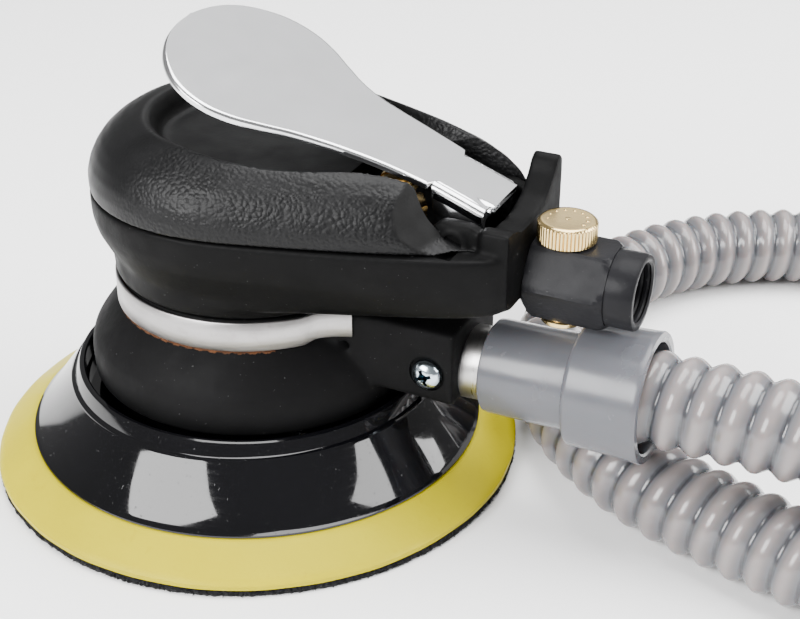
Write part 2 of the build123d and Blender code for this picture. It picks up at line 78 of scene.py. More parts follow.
class Graph:
    """A material's node tree with short calls for what every material here uses."""

    def __init__(self, name, **shader):
        self.mat = bpy.data.materials.new(name)
        self.mat.use_nodes = True
        self.tree = self.mat.node_tree
        self.shader = self.tree.nodes["Principled BSDF"]
        for socket, value in shader.items():
            self.shader.inputs[socket.replace("_", " ")].default_value = value
        self.place = self.add("ShaderNodeTexCoord").outputs["Object"]

    def add(self, kind, links=(), **values):
        node = self.tree.nodes.new(kind)
        for key, value in values.items():
            if key in node.inputs:
                node.inputs[key].default_value = value
            else:
                setattr(node, key, value)
        for socket, source in links:
            self.tree.links.new(source, node.inputs[socket])
        return node

    def join(self, source, socket):
        self.tree.links.new(source, self.shader.inputs[socket])

    def noise(self, scale, detail=4.0, rough=0.55, place=None):
        node = self.add("ShaderNodeTexNoise", [("Vector", place or self.place)], Scale=scale, Detail=detail,
                        Roughness=rough)
        return node.outputs["Fac"]

    def stretched(self, x, y, z):
        node = self.add("ShaderNodeMapping", [("Vector", self.place)])
        node.inputs["Scale"].default_value = (x, y, z)
        return node.outputs["Vector"]

    def ramp(self, source, stops):
        node = self.add("ShaderNodeValToRGB", [("Fac", source)])
        ramp = node.color_ramp
        while len(ramp.elements) < len(stops):
            ramp.elements.new(0.5)
        for element, (at, value) in zip(ramp.elements, stops):
            element.position = at
            element.color = (*value, 1) if isinstance(value, tuple) else (value, value, value, 1)
        return node.outputs["Color"]

    def remap(self, source, low, high, to_low, to_high):
        node = self.add("ShaderNodeMapRange", [("Value", source)])
        for socket, value in zip(("From Min", "From Max", "To Min", "To Max"), (low, high, to_low, to_high)):
            node.inputs[socket].default_value = value
        return node.outputs["Result"]

    def math(self, kind, a, b):
        node = self.add("ShaderNodeMath", operation=kind)
        for socket, value in ((0, a), (1, b)):
            if isinstance(value, (int, float)):
                node.inputs[socket].default_value = value
            else:
                self.tree.links.new(value, node.inputs[socket])
        return node.outputs[0]

    def mix(self, factor, a, b):
        node = self.add("ShaderNodeMix", data_type="RGBA")
        for socket, value in ((0, factor), (6, a), (7, b)):
            if isinstance(value, tuple):
                node.inputs[socket].default_value = (*value, 1)
            else:
                self.tree.links.new(value, node.inputs[socket])
        return node.outputs[2]

    def bump(self, height, distance, strength=1.0, after=None):
        node = self.add("ShaderNodeBump", [("Height", height)], Distance=distance, Strength=strength)
        if after:
            self.tree.links.new(after, node.inputs["Normal"])
        self.join(node.outputs["Normal"], "Normal")
        return node.outputs["Normal"]

    def mottled(self, color, spread, scale):
        """Base colour that wanders a little over the surface."""
        low = tuple(c * (1 - spread) for c in color)
        high = tuple(min(1.0, c * (1 + spread)) for c in color)
        self.join(self.ramp(self.noise(scale), [(0.3, low), (0.7, high)]), "Base Color")

    def rough_between(self, low, high, scale, place=None):
        self.join(self.remap(self.noise(scale, 6.0, 0.6, place), 0.3, 0.7, low, high), "Roughness")


def leather_rubber():
    """Pebbled rubber, smooth over the nose, on the flat crown and in the scooped end, whose face is painted
    near-black as painted shade.
    """
    g = Graph("grip_leather_rubber", Specular_IOR_Level=0.17)
    warp = g.add("ShaderNodeTexNoise", [("Vector", g.place)], Scale=260.0, Detail=2.0)
    spot = g.add("ShaderNodeMix", [(4, g.place), (5, warp.outputs["Color"])], data_type="VECTOR")
    spot.inputs[0].default_value = 0.0016
    cells = g.add("ShaderNodeTexVoronoi", [("Vector", spot.outputs[1])], feature="SMOOTH_F1", Scale=1150.0)
    cells.inputs["Smoothness"].default_value = 0.35
    along = g.add("ShaderNodeSeparateXYZ", [("Vector", g.place)]).outputs["X"]
    normal = g.add("ShaderNodeNewGeometry").outputs["True Normal"]
    facing = g.add("ShaderNodeSeparateXYZ", [("Vector", normal)])
    off_crown = g.remap(facing.outputs["Z"], 0.82, 0.97, 1.0, 0.04)
    off_scoop = g.remap(facing.outputs["X"], 0.45, 0.6, 1.0, 0.15)
    off_nose = g.remap(along, -0.016, -0.002, 0.06, 1.0)
    grained = g.math("MULTIPLY", off_nose, g.math("MULTIPLY", off_crown, off_scoop))
    patch = g.remap(g.noise(45, 2.0), 0.35, 0.6, 0.45, 1.0)
    height = g.math("MULTIPLY", g.math("MULTIPLY", cells.outputs["Distance"], grained), patch)
    fine = g.bump(g.noise(2600, 3.0), 0.00004, 0.5)
    g.bump(g.math("MULTIPLY", height, -1.0), 0.00035, 0.6, after=fine)
    tone = g.ramp(g.noise(60), [(0.3, (0.0032, 0.0032, 0.0034)), (0.7, (0.0052, 0.0052, 0.0056))])
    # Painted shade: faces turned towards +X (the scooped end) take a near-black colour instead of the grain
    # tone.
    g.join(g.mix(off_scoop, (0.001, 0.001, 0.001), tone), "Base Color")
    rough = g.remap(g.noise(120), 0.3, 0.7, 0.36, 0.5)
    g.join(g.math("ADD", rough, g.remap(off_scoop, 0.15, 1.0, 0.3, 0.0)), "Roughness")
    return g.mat


def satin_black(name, color, rough, grain, depth):
    """Black surface with a fine grain and a few specks of dust."""
    g = Graph(name, Specular_IOR_Level=0.07)
    dark = tuple(c * 0.75 for c in color)
    light = tuple(c * 1.3 for c in color)
    base = g.ramp(g.noise(45), [(0.3, dark), (0.7, light)])
    dust = g.ramp(g.noise(1700, 1.0), [(0.765, 0.0), (0.785, 1.0)])
    g.join(g.mix(dust, base, (0.05, 0.05, 0.05)), "Base Color")
    g.rough_between(rough[0], rough[1], 160)
    g.bump(g.noise(grain, 3.0), depth, 0.6)
    return g.mat


def pad_gloss():
    g = Graph("pad_gloss_black", Coat_Weight=0.35, Coat_Roughness=0.03, Specular_IOR_Level=0.3)
    g.mottled((0.0018, 0.0018, 0.0024), 0.4, 30)
    lines = g.noise(90, 8.0, 0.7, g.stretched(1, 1, 14))
    g.join(g.remap(lines, 0.45, 0.8, 0.05, 0.16), "Roughness")
    pits = g.ramp(g.noise(1400, 1.0), [(0.72, 0.0), (0.8, 1.0)])
    g.bump(pits, 0.00005, 0.5)
    return g.mat


def pad_yellow():
    g = Graph("pad_yellow_foam", Specular_IOR_Level=0.1)
    body = g.ramp(g.noise(38, 5.0), [(0.28, (0.41, 0.345, 0.0)), (0.72, (0.47, 0.40, 0.0))])
    smear = g.ramp(g.noise(240, 5.0), [(0.62, 0.0), (0.78, 0.55)])
    g.join(g.mix(smear, body, (0.36, 0.28, 0.0)), "Base Color")
    g.rough_between(0.3, 0.46, 70)
    g.bump(g.noise(480, 4.0), 0.00009, 0.6)
    return g.mat


def hook_pile():
    g = Graph("hook_pile_black", Specular_IOR_Level=0.1, Sheen_Weight=0.08, Sheen_Roughness=0.4)
    base = g.ramp(g.noise(1500, 2.0), [(0.35, (0.003, 0.003, 0.0034)), (0.7, (0.016, 0.016, 0.017))])
    g.join(base, "Base Color")
    g.rough_between(0.7, 0.95, 900)
    g.bump(g.noise(2200, 2.0), 0.0004, 1.0)
    return g.mat


def metal(name, color, rough, brush, scale, depth, spots=0.12, soil=None, pit=None):
    """Metal with streaks along its brushing, soiled spots and, where a mesh marks it, a recess painted dark as
    painted shade.
    """
    g = Graph(name, Metallic=1.0)
    low = tuple(c * (1 - spots) for c in color)
    base = g.ramp(g.noise(70, 5.0), [(0.3, low), (0.7, color)])
    if soil:
        mark = g.ramp(g.noise(260, 6.0, 0.7), [(0.56, 0.0), (0.75, 0.8)])
        base = g.mix(mark, base, soil)
    # pit is the colour of the painted shade laid over the marked recess.
    if pit:
        base = g.mix(g.add("ShaderNodeAttribute", attribute_name="recess").outputs["Fac"], base, pit)
    g.join(base, "Base Color")
    streak = g.stretched(*brush)
    g.rough_between(rough[0], rough[1], scale, streak)
    g.bump(g.noise(scale * 2, 4.0, 0.6, streak), depth, 0.5)
    return g.mat


def cuff_grey():
    g = Graph("cuff_soft_pvc", Specular_IOR_Level=0.42, Subsurface_Weight=0.1, Subsurface_Scale=0.003)
    g.mottled((0.094, 0.096, 0.108), 0.07, 40)
    g.rough_between(0.16, 0.3, 90)
    g.bump(g.noise(320, 3.0), 0.00006, 0.5)
    return g.mat


def hose_grey():
    g = Graph("hose_corrugated_pvc", Specular_IOR_Level=0.6, Subsurface_Weight=0.18, Subsurface_Scale=0.004)
    rib = g.add("ShaderNodeAttribute", attribute_name="rib").outputs["Fac"]
    # The rib ramp is painted light: near-black in the valleys as painted shade, lighter towards the crests as
    # painted highlight.
    tone = g.ramp(rib, [
        (0.0, (0.035, 0.035, 0.04)), (0.14, (0.13, 0.13, 0.14)), (0.5, (0.165, 0.152, 0.152)),
        (1.0, (0.23, 0.203, 0.196))])
    cloud = g.ramp(g.noise(55, 4.0), [(0.35, (0.88, 0.88, 0.9)), (0.7, (1.0, 1.0, 1.0))])
    blend = g.add("ShaderNodeMix", [(6, tone), (7, cloud)], data_type="RGBA", blend_type="MULTIPLY")
    blend.inputs[0].default_value = 1.0
    g.join(blend.outputs[2], "Base Color")
    g.rough_between(0.12, 0.26, 140)
    g.bump(g.noise(400, 3.0), 0.00005, 0.4)
    return g.mat


def liner_fibre():
    g = Graph("band_liner_fibre", Specular_IOR_Level=0.25)
    fibre = g.noise(420, 6.0, 0.7, g.stretched(1, 1, 5))
    g.join(g.ramp(fibre, [(0.3, (0.018, 0.006, 0.002)), (0.7, (0.115, 0.042, 0.013))]), "Base Color")
    g.rough_between(0.7, 0.95, 500)
    g.bump(g.noise(900, 4.0), 0.0002, 1.0)
    return g.mat


def moulded(name, color, rough):
    g = Graph(name, Specular_IOR_Level=0.45)
    g.mottled(color, 0.12, 90)
    g.rough_between(rough, rough + 0.15, 200)
    g.bump(g.noise(900, 3.0), 0.00004, 0.5)
    return g.mat


MATERIALS = {
    "grip_rubber": leather_rubber(),
    "housing_black": satin_black(
        "housing_satin_black", (0.0021, 0.0021, 0.0022), (0.44, 0.62), 1500, 0.00005),
    "shroud_rubber": satin_black(
        "shroud_matte_rubber", (0.0038, 0.0038, 0.004), (0.55, 0.72), 900, 0.00006),
    "inlet_black": satin_black(
        "inlet_black_oxide", (0.0105, 0.0105, 0.0118), (0.28, 0.42), 700, 0.00012),
    "pad_gloss": pad_gloss(),
    "pad_yellow": pad_yellow(),
    "hook_black": hook_pile(),
    "liner_cork": liner_fibre(),
    "cuff_grey": cuff_grey(),
    "hose_grey": hose_grey(),
    "lever_chrome": metal(
        "lever_polished_steel", (0.77, 0.775, 0.79), (0.14, 0.22), (3, 1, 3), 60, 0.00001, 0.05),
    "band_aluminium": metal(
        "band_rolled_aluminium", (0.45, 0.435, 0.43), (0.3, 0.46), (1, 1, 8), 90, 0.00006, 0.2,
        soil=(0.30, 0.28, 0.27)),
    "tube_aluminium": metal(
        "tube_turned_aluminium", (0.52, 0.51, 0.50), (0.25, 0.42), (14, 1, 1), 70, 0.00005,
        soil=(0.35, 0.33, 0.31)),
    # pit: near-black painted shade inside the screw's cross recess.
    "screw_zinc": metal(
        "screw_blue_zinc", (0.66, 0.76, 0.82), (0.12, 0.25), (1, 1, 1), 500, 0.00003, 0.3,
        pit=(0.01, 0.03, 0.045)),
    "knob_brass": metal(
        "knob_bright_brass", (0.74, 0.55, 0.25), (0.14, 0.26), (1, 1, 1), 260, 0.00003, 0.15),
    "valve_brass": metal(
        "valve_turned_brass", (0.80, 0.58, 0.25), (0.16, 0.3), (1, 1, 9), 160, 0.00003, 0.2),
    "steel_bright": metal("steel_ground", (0.62, 0.63, 0.65), (0.2, 0.34), (1, 1, 10), 120, 0.00003),
    "steel_dark": metal("steel_blackened", (0.10, 0.10, 0.11), (0.3, 0.5), (1, 8, 1), 150, 0.00004),
    "motor_iron": metal("iron_machined", (0.34, 0.34, 0.35), (0.35, 0.5), (1, 1, 10), 130, 0.00004),
    "end_plate_aluminium": metal(
        "aluminium_machined", (0.68, 0.68, 0.69), (0.28, 0.42), (1, 1, 10), 120, 0.00003),
    "vane_fibre": moulded("vane_phenolic", (0.20, 0.10, 0.045), 0.55),
    "seat_nylon": moulded("seat_nylon", (0.68, 0.66, 0.58), 0.4),
}


def dress_frame():
    """Every carried-over CAD node takes the detailed material of its slot."""
    for entry in frame["record"]["subparts"]:
        node = frame["nodes"][entry["node"]]
        node.data.materials.clear()
        node.data.materials.append(MATERIALS[entry["material_slot"]])


dress_frame()


# ---------------------------------------------------------------- mesh tools

def link(name, mesh):
    piece = bpy.data.objects.new(name, mesh)
    bpy.context.scene.collection.objects.link(piece)
    return piece


def from_data(name, verts, faces):
    """Mesh object from millimetre points."""
    mesh = bpy.data.meshes.new(name)
    mesh.from_pydata([tuple(float(c) * MM for c in v) for v in verts], [], [tuple(f) for f in faces])
    mesh.validate()
    shape = bmesh.new()
    shape.from_mesh(mesh)
    bmesh.ops.recalc_face_normals(shape, faces=shape.faces)
    shape.to_mesh(mesh)
    shape.free()
    return link(name, mesh)


def bake_modifiers(piece):
    """Apply the piece's modifiers to its mesh."""
    bpy.context.view_layer.update()
    graph = bpy.context.evaluated_depsgraph_get()
    mesh = bpy.data.meshes.new_from_object(piece.evaluated_get(graph))
    piece.modifiers.clear()
    old = piece.data
    piece.data = mesh
    bpy.data.meshes.remove(old)
    return piece


def modify(piece, kind, **values):
    modifier = piece.modifiers.new(kind, kind)
    for key, value in values.items():
        setattr(modifier, key, value)


def soften_edges(piece, width, least_angle):
    """Bevel the edges whose faces meet at more than an angle in degrees."""
    modify(piece, "BEVEL", width=width * MM, segments=2, limit_method="ANGLE",
           angle_limit=math.radians(least_angle))
    bake_modifiers(piece)


def smooth_by_angle(piece, degrees):
    """Smooth shading with sharp edges kept where faces meet at more than the angle."""
    mesh = piece.data
    mesh.polygons.foreach_set("use_smooth", [True] * len(mesh.polygons))
    mesh.set_sharp_from_angle(angle=math.radians(degrees))


def cut(piece, tool):
    """Boolean difference, with the tool removed afterwards."""
    modify(piece, "BOOLEAN", operation="DIFFERENCE", object=tool, solver="EXACT")
    bake_modifiers(piece)
    bpy.data.objects.remove(tool)


def fuse(piece, *others):
    """Join meshes into one object, keeping each as its own shell."""
    whole = bmesh.new()
    for one in (piece, *others):
        whole.from_mesh(one.data)
    whole.to_mesh(piece.data)
    whole.free()
    for one in others:
        bpy.data.objects.remove(one)
    return piece


def melt(piece, voxel, rounds):
    """Union the shells on a fine grid and soften the creases."""
    modify(piece, "REMESH", mode="VOXEL", voxel_size=voxel * MM, use_smooth_shade=True)
    modify(piece, "SMOOTH", factor=0.5, iterations=rounds)
    return bake_modifiers(piece)


def spin(name, profile, segments=128, centre=(0, 0), wave=None):
    """Surface of revolution about Z from (r, z) points; a zero radius closes an end."""
    verts, faces, rows = [], [], []
    for r, z in profile:
        if r == 0:
            rows.append([len(verts)])
            verts.append((centre[0], centre[1], z))
            continue
        rows.append(range(len(verts), len(verts) + segments))
        for k in range(segments):
            a = TURN * k / segments
            reach = r if wave is None else wave(r, z, a)
            verts.append((centre[0] + reach * math.cos(a), centre[1] + reach * math.sin(a), z))
    for low, high in zip(rows, rows[1:]):
        for k in range(segments):
            j = (k + 1) % segments
            if len(low) == 1:
                faces.append((low[0], high[j], high[k]))
            elif len(high) == 1:
                faces.append((low[k], low[j], high[0]))
            else:
                faces.append((low[k], low[j], high[j], high[k]))
    return from_data(name, verts, faces)


def lay_on_x(piece, z, tilt=0.0, pivot=0.0):
    """Turn a piece built about Z so that its axis runs along +X at height z."""
    turn = Matrix.Rotation(QUARTER, 4, "Y")
    lean = Matrix.Rotation(math.radians(-tilt), 4, "Y")
    shift = Matrix.Translation((pivot * MM, 0, z * MM))
    piece.data.transform(shift @ lean @ Matrix.Translation((-pivot * MM, 0, 0)) @ turn)
    return piece


def closed_curve(points, count):
    """Samples of the closed cubic B-spline of a control polygon."""
    p = np.array(points, float)
    n = len(p)
    t = np.arange(count) / count * n
    i = np.floor(t).astype(int)
    u = (t - i)[:, None]
    a, b, c, d = (p[(i + k - 1) % n] for k in range(4))
    return ((1 - u) ** 3 * a + (3 * u ** 3 - 6 * u ** 2 + 4) * b
            + (-3 * u ** 3 + 3 * u ** 2 + 3 * u + 1) * c + u ** 3 * d) / 6


def loft(name, rings):
    """Skin over closed rings of equal count, with a fan to each end's centre."""
    count = len(rings[0])
    verts = [v for ring in rings for v in ring]
    faces = []
    for level in range(len(rings) - 1):
        a, b = level * count, (level + 1) * count
        faces += [(a + k, a + (k + 1) % count, b + (k + 1) % count, b + k) for k in range(count)]
    start = (len(rings) - 1) * count
    verts += [np.mean(rings[0], axis=0), np.mean(rings[-1], axis=0)]
    faces += [(len(verts) - 2, (k + 1) % count, k) for k in range(count)]
    faces += [(len(verts) - 1, start + k, start + (k + 1) % count) for k in range(count)]
    return from_data(name, verts, faces)


def finish_piece(piece, body, slot, node, angle=35):
    """Shade and dress a piece, put it on its body and let it stand for a CAD node."""
    smooth_by_angle(piece, angle)
    piece.data.materials.clear()
    piece.data.materials.append(MATERIALS[slot])
    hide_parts(node)
    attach(piece, body)
    return piece


# ---------------------------------------------------------------- dust hose

HOSE_D = 21.0
HOSE_RIDGE_R = HOSE_D / 2 - 0.02
HOSE_VALLEY_R = 8.9
HOSE_PITCH = 6.4
STEPS_PER_RIB = 12
POINTS_AROUND = 40
DUST_X, DUST_Z, DUST_TILT = 55.0, 34.4, 2.0


def on_dust_axis(x):
    reach, turn = x - DUST_X, math.radians(DUST_TILT)
    return (DUST_X + reach * math.cos(turn), 0, DUST_Z + reach * math.sin(turn))


FLOOR_Z = HOSE_D / 2
HOSE_ROUTE = [
    on_dust_axis(86), on_dust_axis(116), (146, 1, 33.5), (177, 2, 26), (210, 5, 16.5),
    (246, 10, FLOOR_Z), (277, 30.5, FLOOR_Z), (295, 63, FLOOR_Z), (296, 100, FLOOR_Z), (280, 134, FLOOR_Z),
    (251, 156.5, FLOOR_Z), (214.5, 163.5, FLOOR_Z), (180, 156.5, FLOOR_Z), (146, 150, FLOOR_Z),
    (113, 142.5, FLOOR_Z), (85, 131, FLOOR_Z), (63.5, 109, FLOOR_Z), (53, 80, FLOOR_Z), (55.5, 49.5, FLOOR_Z),
    (70, 22.5, FLOOR_Z), (94, 4, FLOOR_Z), (124, -5, FLOOR_Z), (158, -14, FLOOR_Z), (190, -20, FLOOR_Z),
    (217, -22, FLOOR_Z), (246, -19.5, FLOOR_Z), (281, -1.5, FLOOR_Z), (308, 29, FLOOR_Z), (321, 67, FLOOR_Z),
    (319, 107.5, FLOOR_Z), (302, 144, FLOOR_Z), (272, 172, FLOOR_Z), (234.5, 186.5, FLOOR_Z),
    (194, 186, FLOOR_Z), (158, 178, FLOOR_Z),
]


def nurbs_line(points):
    """Points in millimetres on the NURBS spline whose control points are given in millimetres."""
    curve = bpy.data.curves.new("route", "CURVE")
    curve.dimensions = "3D"
    curve.resolution_u = 24
    spline = curve.splines.new("NURBS")
    spline.points.add(len(points) - 1)
    for target, point in zip(spline.points, points):
        target.co = (*(c * MM for c in point), 1)
    spline.order_u = 3
    spline.use_endpoint_u = True
    holder = link("route", curve)
    bpy.context.view_layer.update()
    mesh = bpy.data.meshes.new_from_object(holder)
    line = np.array([v.co[:] for v in mesh.vertices]) / MM
    bpy.data.objects.remove(holder)
    return line


def even_steps(line, step):
    """The line resampled at even steps, with each sample's distance from its start."""
    gaps = np.linalg.norm(np.diff(line, axis=0), axis=1)
    keep = np.concatenate([[True], gaps > 1e-6])
    line = line[keep]
    run = np.concatenate([[0], np.cumsum(np.linalg.norm(np.diff(line, axis=0), axis=1))])
    count = int(round(run[-1] / step)) + 1
    at = np.linspace(0, run[-1], count)
    return np.stack([np.interp(at, run, line[:, k]) for k in range(3)], axis=1), at


def make_hose():
    """Hose with one helical rib, and the points that its centre line follows."""
    line, at = even_steps(nurbs_line(HOSE_ROUTE), HOSE_PITCH / STEPS_PER_RIB)
    ahead = np.gradient(line, axis=0)
    ahead /= np.linalg.norm(ahead, axis=1)[:, None]
    side = np.cross(ahead, (0, 0, 1.0))
    side /= np.linalg.norm(side, axis=1)[:, None]
    lift = np.cross(side, ahead)
    angle = TURN * np.arange(POINTS_AROUND) / POINTS_AROUND
    phase = at[:, None] / HOSE_PITCH - angle[None, :] / TURN
    wave = 0.5 - 0.5 * np.cos(TURN * phase)
    radius = HOSE_VALLEY_R + (HOSE_RIDGE_R - HOSE_VALLEY_R) * wave ** 0.62
    out = (np.cos(angle)[None, :, None] * side[:, None, :]
           + np.sin(angle)[None, :, None] * lift[:, None, :])
    rings = line[:, None, :] + radius[:, :, None] * out
    hose = loft("dust_hose", list(rings[:, ::-1]))
    # The rib wave is stored so the hose material can paint shade into the valleys and highlight onto the
    # crests.
    mark = hose.data.attributes.new("rib", "FLOAT", "POINT")
    values = np.concatenate([wave[:, ::-1].ravel(), [0.0, 0.0]])
    mark.data.foreach_set("value", values.astype(np.float32))
    finish_piece(hose, "housing", "hose_grey", "hose", angle=60)
    return hose, [tuple(p * MM) for p in line[::STEPS_PER_RIB // 2]]


hose, hose_path = make_hose()


# ---------------------------------------------------------------- housing and grip

VALVE_X, VALVE_Y = 40.5, -6.2
PIN_X, PIN_Z = 56, 70
BELLY_R = 35.4
TAIL_ROOT, TAIL_END = 11, 68.4
TAIL_POINTS = [(69, 0), (69, 8), (69, 14.6), (64, 18.4), (55, 22.3), (41, 26.6), (25, 31.0), (11, 34.6)]
TAIL_TURNS = [0, 8, 16, 26, 36, 47, 59, 71]


def on_circle(radius, degrees):
    a = math.radians(degrees)
    return radius * math.cos(a), radius * math.sin(a)


def body_plan(radius, reach, z):
    """Plan outline at one height: a round nose blended into a tail that ends at x = reach."""
    blend = min(1.0, max(0.0, (reach - radius) / 14))
    circle = 1.012 * radius
    half = []
    for (x, y), turn in zip(TAIL_POINTS, TAIL_TURNS):
        near_x, near_y = on_circle(circle, turn)
        far_x = TAIL_ROOT + (x - TAIL_ROOT) * (reach - TAIL_ROOT) / (TAIL_END - TAIL_ROOT)
        far_y = y * radius / BELLY_R
        half.append((near_x * (1 - blend) + far_x * blend, near_y * (1 - blend) + far_y * blend))
    half += [on_circle(circle, turn) for turn in range(84, 180, 12)]
    ring = half + [(-circle, 0)] + [(x, -y) for x, y in reversed(half[1:])]
    count = 200
    return np.column_stack([closed_curve(ring, count), np.full(count, z)])


def body_stack(name, levels):
    """Shell through the plan outlines of (height, nose radius, tail reach) levels."""
    return loft(name, [body_plan(r, reach, z) for z, r, reach in levels])


def slab(name, outline, low, high, axis):
    """Prism of a polygon in the plane across an axis, between two stations on it."""
    def place(a, b, t):
        return {"X": (t, a, b), "Y": (a, t, b), "Z": (a, b, t)}[axis]
    rings = [[place(a, b, t) for a, b in outline] for t in (low, high)]
    return loft(name, rings)


def brick(name, x0, x1, y0, y1, z0, z1):
    return slab(name, [(x0, y0), (x1, y0), (x1, y1), (x0, y1)], z0, z1, "Z")


def rounded(outline, count=96):
    """Closed curve close to a polygon, with its corners softened."""
    dense = []
    for (ax, ay), (bx, by) in zip(outline, outline[1:] + outline[:1]):
        dense += [(ax + (bx - ax) * t, ay + (by - ay) * t) for t in (0.08, 0.36, 0.64, 0.92)]
    return [tuple(p) for p in closed_curve(dense, count)]


def bar(name, radius, start, end, segments=48):
    """Round tool or boss between two points."""
    a, b = Vector(start), Vector(end)
    turn = (b - a).to_track_quat("Z", "Y").to_matrix().to_4x4()
    piece = spin(name, [(0, 0), (radius, 0), (radius, (b - a).length), (0, (b - a).length)], segments)
    piece.data.transform(Matrix.Translation(a * MM) @ turn)
    return piece


def make_housing():
    """Round barrel with a long tail, the horned fin behind the lever and the two ears for its pin."""
    barrel = body_stack("motor_housing_shell", [
        (48.7, 30.6, 30.6), (49.2, 31.2, 31.2), (50.4, 31.4, 32.5), (51.2, 31.4, 41), (52.2, 31.5, 50),
        (53.6, 31.6, 60), (54.8, 31.9, 65.5), (56.2, 32.5, 67.6), (58, 33.4, 68.2), (60.5, 34.6, 68.4),
        (63.5, 35.3, 68.4), (66.5, 35.4, 68.4), (68.6, 35.4, 68.2), (69.0, 35.0, 67.8)])
    dome = spin("dome", [(0, 66), (31, 66), (31, 74.5), (27.5, 78.4), (0, 78.4)], 96)
    fin_outline = rounded([
        (-15, 56), (15, 56), (15.6, 66), (16.0, 76.5), (15.6, 79.6), (14.2, 80.9), (12.6, 80.2), (10.4, 77.0),
        (6.5, 73.6), (-1, 71.6), (-8, 71.9), (-11.5, 73.9), (-15.2, 74.3)], 160)
    shells = [dome, slab("fin", fin_outline, 62.1, 68.3, "X")]
    ear_outline = rounded([
        (49.6, 66), (62.6, 66), (62.6, 72.2), (59.4, 74.1), (53.0, 74.1), (50.2, 71.6)], 80)
    for side in (-1, 1):
        shells.append(slab("ear", ear_outline, side * 10.65, side * 14.0, "Y"))
        shells.append(bar("pin_boss", 3.1, (PIN_X, side * 13.6, PIN_Z), (PIN_X, side * 14.9, PIN_Z)))
    housing = melt(fuse(barrel, *shells), 0.62, 5)
    cut(housing, brick("well", 48.2, 62.0, -10.5, 10.5, 66.2, 90))
    for side in (-1, 1):
        cut(housing, bar("pocket", 2.1, (PIN_X, side * 20, PIN_Z), (PIN_X, side * 14.2, PIN_Z)))
    cut(housing, bar("valve_hole", 5.3, (VALVE_X, VALVE_Y, 66.6), (VALVE_X, VALVE_Y, 75)))
    return finish_piece(housing, "housing", "housing_black", "motor_housing", angle=42)


def palm_recess():
    """Tool for the shallow recess in the crown, which widens towards its rim."""
    hollow = [(72, 0), (72, 13.0), (44, 14.0), (33, 17.8), (24, 22.3), (14, 24.6), (2, 24.4), (-8, 20.6),
              (-15, 14.0), (-18.6, 6.5), (-19.2, 0)]
    levels = [(-2.2, 79.9), (-0.9, 80.3), (-0.2, 81.4), (0.2, 83.0), (1.0, 84.4), (2.4, 85.4), (5.5, 86.3),
              (9, 88)]
    count = 160
    rings = []
    for grow, z in levels:
        ring = []
        for x, y in hollow:
            along = (grow if x > 0 else -grow) * (0.25 if x > 60 else 1)
            ring.append((x + along, y + grow * min(1, y / 10)))
        full = ring + [(x, -y) for x, y in reversed(ring[1:-1])]
        rings.append(np.column_stack([closed_curve(full, count), np.full(count, z)]))
    return loft("recess", rings)


def tail_scoop():
    """Tool for the curved face that ends the grip beside the lever's pin on the near side."""
    outline = [(42.6, 92), (43.4, 83.5), (45.4, 77.6), (48.0, 73.0), (51.6, 69.9), (55.4, 68.6), (60, 68.4),
               (66, 68.4), (66, 92)]
    rings = []
    for y in np.linspace(-7, -34, 28):
        lean = float(np.interp(-y, [7, 13, 18, 24, 34], [3.6, 2.6, 1.3, -0.6, -3.6]))
        shifted = [(x + (lean if x < 60 else 0), z + (0.55 * lean if z < 80 else 0)) for x, z in outline]
        rings.append([(x, y, z) for x, z in rounded(shifted)])
    return loft("scoop", rings)


def make_grip():
    grip = body_stack("palm_grip_shell", [
        (69.1, 34.9, 61.4), (69.5, 35.4, 61.9), (72.4, 35.4, 61.6), (75.0, 34.7, 60.0), (77.6, 33.4, 57.2),
        (79.8, 31.8, 53.6), (81.8, 29.6, 48.6), (83.4, 27.2, 43.0), (84.8, 24.2, 35.0), (85.7, 20.5, 27.0),
        (86.0, 15.0, 19.0)])
    cut(grip, palm_recess())
    cut(grip, tail_scoop())
    grip = melt(grip, 0.5, 5)
    well = [(31.6, -12.3), (42.0, -12.3), (49.0, -14.3), (64.0, -14.3)]
    cut(grip, slab("valve_well", well + [(x, -y) for x, y in reversed(well)], 66, 90, "Z"))
    soften_edges(grip, 0.35, 50)
    return finish_piece(grip, "housing", "grip_rubber", "palm_grip", angle=48)


make_housing()
make_grip()


# ---------------------------------------------------------------- shroud, band and dust port

BOSS_STATIONS = [(27.0, 15.5, 30.0, 47.6), (33.0, 13.6, 29.6, 47.4), (39, 12.4, 29.2, 47.0),
                 (47, 12.0, 28.8, 46.6), (55.3, 12.0, 28.7, 46.4)]
SCREW_X, SCREW_Y, SCREW_Z = 49.5, -11.25, 36


def make_shroud():
    """Bell round the motor with a square boss for the dust tube on one side."""
    bell = spin("shroud_bell", [
        (36.2, 23.6), (38.0, 23.5), (38.3, 24.0), (38.5, 27.5), (38.5, 30.0), (37.9, 32.3), (36.8, 34.2),
        (35.4, 36.1), (33.8, 38.1), (32.2, 39.8), (30.9, 41.0), (30.5, 41.6), (30.5, 48.2), (28.6, 48.2),
        (28.6, 39.4), (31.2, 37.6), (33.6, 34.6), (36.0, 31.0), (36.2, 23.6)], 160)
    boss_rings = []
    for x, half, low, high in BOSS_STATIONS:
        section = [(-half, low + 1), (-half + 1, low), (half - 1, low), (half, low + 1),
                   (half, high - 1), (half - 1, high), (-half + 1, high), (-half, high - 1)]
        boss_rings.append([(x, y, z) for y, z in rounded(section, 120)])
    boss = loft("boss", boss_rings)
    cut(boss, spin("bell_room", [(0, 20), (34.5, 20), (34.5, 40), (30.5, 41.5), (30.5, 60), (0, 60)], 96))
    shroud = melt(fuse(bell, boss), 0.6, 7)
    cut(shroud, on_dust_port(spin("port", [(0, 30), (8.4, 30), (8.4, 70), (0, 70)], 96)))
    cut(shroud, bar("screw_seat", 4.2, (SCREW_X, -14, SCREW_Z), (SCREW_X, -11.3, SCREW_Z)))
    return finish_piece(shroud, "housing", "shroud_rubber", "shroud", angle=45)


def on_dust_port(piece):
    return lay_on_x(piece, DUST_Z, DUST_TILT, DUST_X)


